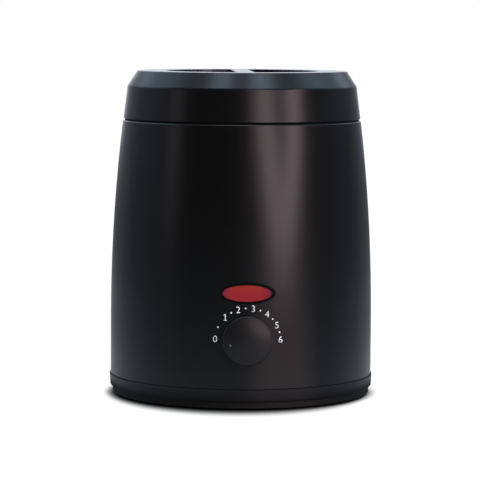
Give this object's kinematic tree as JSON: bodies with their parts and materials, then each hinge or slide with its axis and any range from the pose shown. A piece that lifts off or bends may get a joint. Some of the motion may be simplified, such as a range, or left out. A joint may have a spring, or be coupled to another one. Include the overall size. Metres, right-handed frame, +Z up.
{
  "type": "wax warmer",
  "caption": "Tabletop wax warmer: tapered round body with a turning temperature knob, a pilot light, a heated well, a lift-out pot with a wire bail and a lift-off lid.",
  "frame": {"origin": "on the table under the middle of the round body", "axes": "+Z up along the body's axis, -Y towards the knob and the pilot light, +X to the right as seen from the front"},
  "size_m": [0.125, 0.1346, 0.1529],
  "materials": {
    "case_plastic": "fine spark-eroded texture, satin black",
    "lid_plastic": "fine spark-eroded texture, satin black",
    "pan_plastic": "satin black",
    "knob_plastic": "smooth satin black",
    "foot_rubber": "matte black",
    "gland_rubber": "matte black",
    "zinc_plate": "bright zinc plate",
    "steel": "pressed stainless steel",
    "well_aluminium": "drawn, matte",
    "pot_aluminium": "spun, with fine turning marks",
    "bail_wire": "bright nickel plate",
    "brass": "plain brass",
    "copper": "drawn copper",
    "mica": "bonded mica sheet",
    "glass_fibre": "woven glass-fibre felt",
    "ceramic": "unglazed steatite",
    "nylon_white": "moulded nylon",
    "lens_red": "translucent red, smooth",
    "lamp_glass": "neon lamp glass",
    "lead_red": "silicone insulation",
    "lead_blue": "silicone insulation",
    "lead_white": "glass-fibre sleeving"
  },
  "bodies": {
    "base": {"body_shell": "case_plastic", "base_pan": "pan_plastic", "feet": "foot_rubber", "base_screws": "zinc_plate", "top_collar": "pan_plastic", "collar_screws": "steel", "heating_well": "well_aluminium", "heater_band": "mica", "heater_tags": "brass", "band_clamp": "steel", "clamp_screw": "zinc_plate", "insulation_sleeve": "glass_fibre", "thermostat_can": "steel", "thermostat_base": "ceramic", "thermostat_tabs": "brass", "thermostat_bracket": "zinc_plate", "thermostat_nut": "brass", "bracket_screws": "steel", "capillary_tube": "copper", "sensing_bulb": "copper", "thermal_fuse": "well_aluminium", "well_clips": "steel", "indicator_lens": "lens_red", "lamp_holder": "nylon_white", "neon_lamp": "lamp_glass", "lamp_screws": "steel", "terminal_block": "nylon_white", "terminal_screws": "brass", "block_screws": "steel", "cord_gland": "gland_rubber", "gland_nut": "pan_plastic", "lead_live": "lead_red", "lead_neutral": "lead_blue", "lead_switched": "lead_white", "lead_fuse": "lead_white", "lead_lamp_neutral": "lead_blue", "lead_lamp_live": "lead_red"},
    "knob": {"thermostat_shaft": "zinc_plate", "knob": "knob_plastic", "knob_clip": "steel"},
    "pot": {"pot": "pot_aluminium", "bail_ears": "steel", "ear_rivets": "pot_aluminium"},
    "bail": {"bail": "bail_wire"},
    "lid": {"lid": "lid_plastic"}
  },
  "joints": [
    {"name": "knob_turn", "type": "hinge", "parent": "base", "child": "knob", "pos_m": [0, -0.062, 0.0324], "axis": [0, 1, 0], "range_deg": [0, 188]},
    {"name": "pot_lift", "type": "slide", "parent": "base", "child": "pot", "axis": [0, 0, 1], "range_m": [0, 0.09]},
    {"name": "lid_lift", "type": "slide", "parent": "pot", "child": "lid", "axis": [0, 0, 1], "range_m": [0, 0.09]},
    {"name": "bail_swing", "type": "hinge", "parent": "pot", "child": "bail", "pos_m": [0, 0, 0.1374], "axis": [1, 0, 0], "range_deg": [0, 90]}
  ],
  "couplings": [
    {"joint": "bail_swing", "follows": "lid_lift", "rad_per_m": 17.45}
  ]
}
